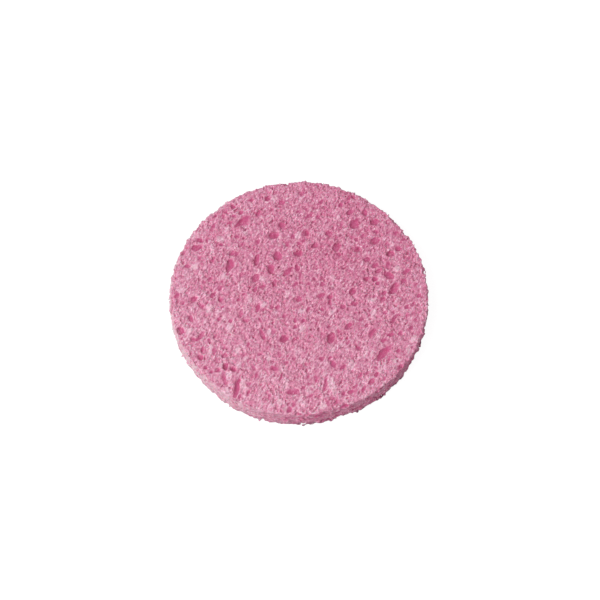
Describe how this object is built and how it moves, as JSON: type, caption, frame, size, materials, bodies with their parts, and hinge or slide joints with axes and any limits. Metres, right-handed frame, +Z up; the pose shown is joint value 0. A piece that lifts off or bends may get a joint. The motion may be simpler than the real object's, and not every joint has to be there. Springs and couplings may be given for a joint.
{
  "type": "facial sponge",
  "caption": "Flat round pad of pink open-pored cellulose foam with a cut edge, for washing the face.",
  "frame": {"origin": "middle of the flat underside, at the bottom centre of the pad's box", "axes": "+Z up through the pad's thickness; X and Y lie in the pad, with +Y away from the viewer of the picture"},
  "size_m": [0.0762, 0.0762, 0.008],
  "materials": {
    "cellulose_foam": "matt pink open-pored cellulose foam, dyed through"
  },
  "bodies": {
    "root": {"sponge_pad": "cellulose_foam"}
  },
  "joints": []
}
